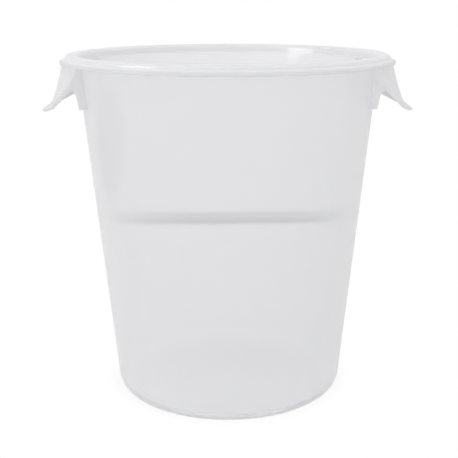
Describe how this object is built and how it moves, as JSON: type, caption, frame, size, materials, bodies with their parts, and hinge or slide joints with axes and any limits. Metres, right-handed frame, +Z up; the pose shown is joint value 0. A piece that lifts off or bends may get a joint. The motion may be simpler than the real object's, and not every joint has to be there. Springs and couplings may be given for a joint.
{
  "type": "dough proofing container",
  "caption": "Tall round tapered tub in clear plastic, open at the top, with a flanged rim and two moulded ears to lift it by.",
  "frame": {"origin": "middle of the circle that the tub stands on", "axes": "+Z up along the tub's axis, ears along -X (left) and +X (right), front towards -Y"},
  "size_m": [0.284, 0.254, 0.266],
  "materials": {
    "clear_plastic": "clear gloss, slightly hazy"
  },
  "bodies": {
    "root": {"base_floor": "clear_plastic", "base_foot": "clear_plastic", "base_heel": "clear_plastic", "side_wall": "clear_plastic", "wall_collar": "clear_plastic", "rim_bead": "clear_plastic", "rim_lip": "clear_plastic", "left_handle_apron": "clear_plastic", "left_handle_lip": "clear_plastic", "left_front_gusset": "clear_plastic", "left_rear_gusset": "clear_plastic", "right_handle_apron": "clear_plastic", "right_handle_lip": "clear_plastic", "right_front_gusset": "clear_plastic", "right_rear_gusset": "clear_plastic"}
  },
  "joints": []
}
